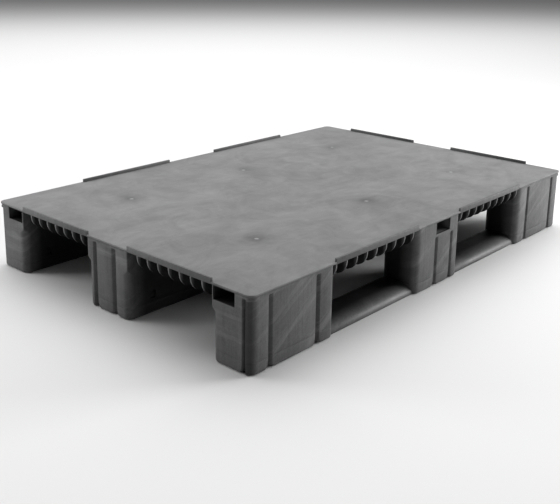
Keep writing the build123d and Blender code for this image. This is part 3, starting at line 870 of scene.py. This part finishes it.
def deck_plastic():
    """Grey plastic of the deck: flow marks, painted shade on the underside and under the edge, painted shade
    round each gate mark's dish and a painted highlight on its stub.
    """
    material, tree, shader = new_material("deck_plastic")
    place = tree.nodes.new("ShaderNodeTexCoord").outputs["Object"]
    height_z = axes(tree, place)[2]
    # painted shade: the deck's underside away from its outer edge, and the rounding under the edge, are drawn
    # darker than the top
    deck_shade = remap(tree, height_z, PLATE_UNDER, DECK_TOP - 0.5 * MM, DECK_UNDER_SHADE, 1.0)
    deck_shade = maths(tree, "MAXIMUM", deck_shade, inner_shade_factor(tree, place, 4 * MM, 13 * MM, DECK_UNDER_SHADE))
    deck_shade = maths(tree, "MULTIPLY", deck_shade, under_edge_tone(tree, height_z))
    clouds = noise_at(tree, place, 2.4, 4.0, 0.55, 1.3)
    swirls = noise_at(tree, stretched(tree, place, (1.0, 1.35, 1.0), (0, 0, -34)), 4.2, 3.5, 0.55, 2.2)
    streaks = noise_at(tree, stretched(tree, place, (5, 22, 5), (0, 0, 14)), 1.5, 4.0, 0.6, 1.6)
    blotch = noise_at(tree, place, 10.0, 5.0, 0.62, 2.2)
    grain = noise_at(tree, place, 420.0, 2.0, 0.7)
    lines = noise_at(tree, stretched(tree, place, (3, 330, 3), (0, 0, 33)), 1.4, 2.0, 0.5, 0.3)
    cross = noise_at(tree, stretched(tree, place, (300, 3, 3), (0, 0, 21)), 1.3, 2.0, 0.5, 0.3)
    away = gate_distance(tree, place)
    # painted shade round each gate mark's dish and a painted highlight on its stub
    ring = maths(tree, "ADD", remap(tree, away, 6 * MM, 20 * MM, -0.36, -0.2),
                 remap(tree, away, 18 * MM, 46 * MM, 0.0, 0.2))
    nub_highlight = remap(tree, away, 3 * MM, 6 * MM, 0.95, 0.0)
    tone = total(tree, [remap(tree, clouds, 0.36, 0.64, 0.84, 1.14),
                        remap(tree, swirls, 0.38, 0.64, -0.1, 0.15),
                        remap(tree, streaks, 0.35, 0.7, -0.03, 0.05),
                        remap(tree, blotch, 0.36, 0.6, -0.11, 0.06),
                        remap(tree, grain, 0.25, 0.75, -0.08, 0.08), remap(tree, lines, 0.65, 0.7, 0.0, 0.1),
                        remap(tree, cross, 0.67, 0.72, 0.0, 0.08), ring, nub_highlight])
    tone = maths(tree, "MULTIPLY", maths(tree, "MULTIPLY", tone, deck_shade), DECK_GREY)
    rough = total(tree, [remap(tree, clouds, 0.3, 0.7, 0.6, 0.74),
                         remap(tree, swirls, 0.3, 0.7, -0.06, 0.06)])
    relief = total(tree, [remap(tree, clouds, 0.3, 0.7, 0.0, 0.9), remap(tree, streaks, 0.3, 0.7, 0.0, 0.35),
                          remap(tree, grain, 0.2, 0.8, 0.0, 0.07), remap(tree, lines, 0.62, 0.7, 0.0, -0.1)])
    finish_plastic(tree, shader, tone, rough, relief, 1.2 * MM)
    return material


def wall_plastic(name, grey, rub):
    """Grey plastic of an upright moulding: vertical drag marks, slanting scuffs, pitted low down; painted
    shade inside the pallet, down one side of each corner post and inside the tube slots.
    """
    material, tree, shader = new_material(name)
    place = tree.nodes.new("ShaderNodeTexCoord").outputs["Object"]
    height_z = axes(tree, place)[2]
    clouds = noise_at(tree, place, 9.0, 5.0, 0.6, 1.5)
    blotch = noise_at(tree, place, 60.0, 4.0, 0.65, 0.6)
    grain = noise_at(tree, place, 300.0, 2.0, 0.7)
    drags = noise_at(tree, stretched(tree, place, (120, 120, 5)), 1.3, 4.0, 0.65, 0.5)
    slant = scuffs(tree, place, (0, 34, 0), 3.0, 0.52, 0.72, rub)
    other = scuffs(tree, place, (24, 0, 0), 26.0, 0.54, 0.74, rub * 0.2, 3.0)
    turned = stretched(tree, place, (1, 1, 1), (0, 34, 0))
    lines = noise_at(tree, stretched(tree, turned, (2, 2, 420)), 1.5, 2.0)
    low_wear = remap(tree, height_z, 4 * MM, 30 * MM, 0.35, 0.0)
    pits = remap(tree, noise_at(tree, place, 210.0, 3.0, 0.7), 0.56, 0.7, 0.0, 1.0)
    pits = maths(tree, "MULTIPLY", pits, low_wear)
    tone = total(tree, [remap(tree, clouds, 0.3, 0.7, 0.84, 1.14), remap(tree, blotch, 0.3, 0.7, -0.08, 0.08),
                        remap(tree, grain, 0.25, 0.75, -0.14, 0.14),
                        remap(tree, drags, 0.3, 0.72, -0.14, 0.12),
                        slant, other, remap(tree, lines, 0.64, 0.72, 0.0, rub * 0.5), pits])
    # painted shade: faces deep inside the pallet are drawn darker
    tone = maths(tree, "MULTIPLY", tone, inner_shade_factor(tree, place, 8 * MM, 46 * MM, INNER_SHADE))
    # painted shade down one side of each corner post and inside the tube slots
    local_shade = maths(tree, "MULTIPLY", post_shade(tree, place), slot_tone(tree, place))
    tone = maths(tree, "MULTIPLY", tone, local_shade)
    tone = maths(tree, "MULTIPLY", tone, grey)
    rough = total(tree, [remap(tree, clouds, 0.3, 0.7, 0.46, 0.6), remap(tree, slant, 0.0, rub, 0.0, 0.05)])
    relief = total(tree, [remap(tree, blotch, 0.25, 0.75, 0.0, 0.3), remap(tree, drags, 0.3, 0.7, 0.0, 0.22),
                          remap(tree, grain, 0.2, 0.8, 0.0, 0.08), remap(tree, lines, 0.62, 0.7, 0.0, -0.12)])
    finish_plastic(tree, shader, tone, rough, relief, 1.0 * MM)
    return material


def galvanised_steel():
    """Dull zinc-coated steel with a spangle."""
    material, tree, shader = new_material("galvanised_steel")
    place = tree.nodes.new("ShaderNodeTexCoord").outputs["Object"]
    shader.inputs["Metallic"].default_value = 1.0
    spangle = tree.nodes.new("ShaderNodeTexVoronoi")
    spangle.inputs["Scale"].default_value = 120.0
    tree.links.new(place, spangle.inputs["Vector"])
    colour = tree.nodes.new("ShaderNodeCombineColor")
    value = remap(tree, spangle.outputs["Distance"], 0.0, 1.0, 0.42, 0.6)
    for channel in ("Red", "Green", "Blue"):
        tree.links.new(value, colour.inputs[channel])
    tree.links.new(colour.outputs["Color"], shader.inputs["Base Color"])
    tree.links.new(remap(tree, noise_at(tree, place, 60.0), 0.3, 0.7, 0.35, 0.55), shader.inputs["Roughness"])
    return material


# ---------------------------------------------------------------- the pallet

DECK_PLASTIC = deck_plastic()
LEG_PLASTIC = wall_plastic("leg_plastic", LEG_GREY, 0.8)
RUNNER_PLASTIC = wall_plastic("runner_plastic", RUNNER_GREY, 0.4)
RIM_PLASTIC = wall_plastic("rim_plastic", RIM_GREY, 0.15)
STEEL = galvanised_steel()

make_legs(LEG_PLASTIC)
make_runners(RUNNER_PLASTIC)
make_deck(DECK_PLASTIC)
make_ribs(DECK_PLASTIC)
make_rims(RIM_PLASTIC)
for tube_name in ("steel_tube_front", "steel_tube_rear"):
    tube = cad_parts[tube_name]
    tube.data.materials.clear()
    tube.data.materials.append(STEEL)


# ---------------------------------------------------------------- floor, light and camera

def pale_floor():
    material, _, shader = new_material("pale_floor")
    shader.inputs["Base Color"].default_value = (0.68, 0.68, 0.68, 1.0)
    shader.inputs["Roughness"].default_value = 0.9
    bm = bmesh.new()
    bmesh.ops.create_grid(bm, x_segments=1, y_segments=1, size=30.0)
    mesh = bpy.data.meshes.new("floor")
    bm.to_mesh(mesh)
    bm.free()
    mesh.materials.append(material)
    floor = bpy.data.objects.new("floor", mesh)
    bpy.context.scene.collection.objects.link(floor)


def soft_light(name, place, aim, size, watts):
    light = bpy.data.lights.new(name, "AREA")
    light.shape = "RECTANGLE"
    light.size, light.size_y = size
    light.energy = watts
    lamp = bpy.data.objects.new(name, light)
    bpy.context.scene.collection.objects.link(lamp)
    way = (Vector(aim) - Vector(place)).to_track_quat("-Z", "Y")
    lamp.matrix_world = Matrix.Translation(place) @ way.to_matrix().to_4x4()


def studio():
    world = bpy.data.worlds.new("studio")
    world.use_nodes = True
    sky = world.node_tree.nodes["Background"]
    sky.inputs["Color"].default_value = (1.0, 1.0, 1.0, 1.0)
    sky.inputs["Strength"].default_value = 0.16
    bpy.context.scene.world = world
    bpy.context.scene.view_settings.view_transform = "Standard"
    soft_light("top_light", (1.6, 1.9, 4.4), (0.2, 0.2, 0), (8.0, 8.0), 500)
    soft_light("right_light", (2.2, -1.8, 0.8), (0.0, -0.4, 0.08), (1.3, 1.0), 84)
    soft_light("left_light", (-2.0, 2.3, 0.8), (-0.6, 0.1, 0.08), (1.2, 1.0), 45)


CAMERA_PLACE = Vector((-1.61039, -1.35363, 0.74221))
CAMERA_AIM = Vector((-0.25196, -0.11156, 0.27112))
CAMERA_ROLL = math.radians(0.7304)
CAMERA_LENS = 56.524
CAMERA_SHIFT = (0.02474, -0.15720)     # the frame sits below the optical axis


def camera():
    data = bpy.data.cameras.new("camera")
    data.lens = CAMERA_LENS
    data.sensor_width = 36.0
    data.shift_x, data.shift_y = CAMERA_SHIFT
    eye = bpy.data.objects.new("camera", data)
    bpy.context.scene.collection.objects.link(eye)
    way = (CAMERA_AIM - CAMERA_PLACE).to_track_quat("-Z", "Y").to_matrix()
    way = way @ Matrix.Rotation(CAMERA_ROLL, 3, "Z")
    eye.matrix_world = Matrix.Translation(CAMERA_PLACE) @ way.to_4x4()
    bpy.context.scene.camera = eye


pale_floor()
studio()
camera()
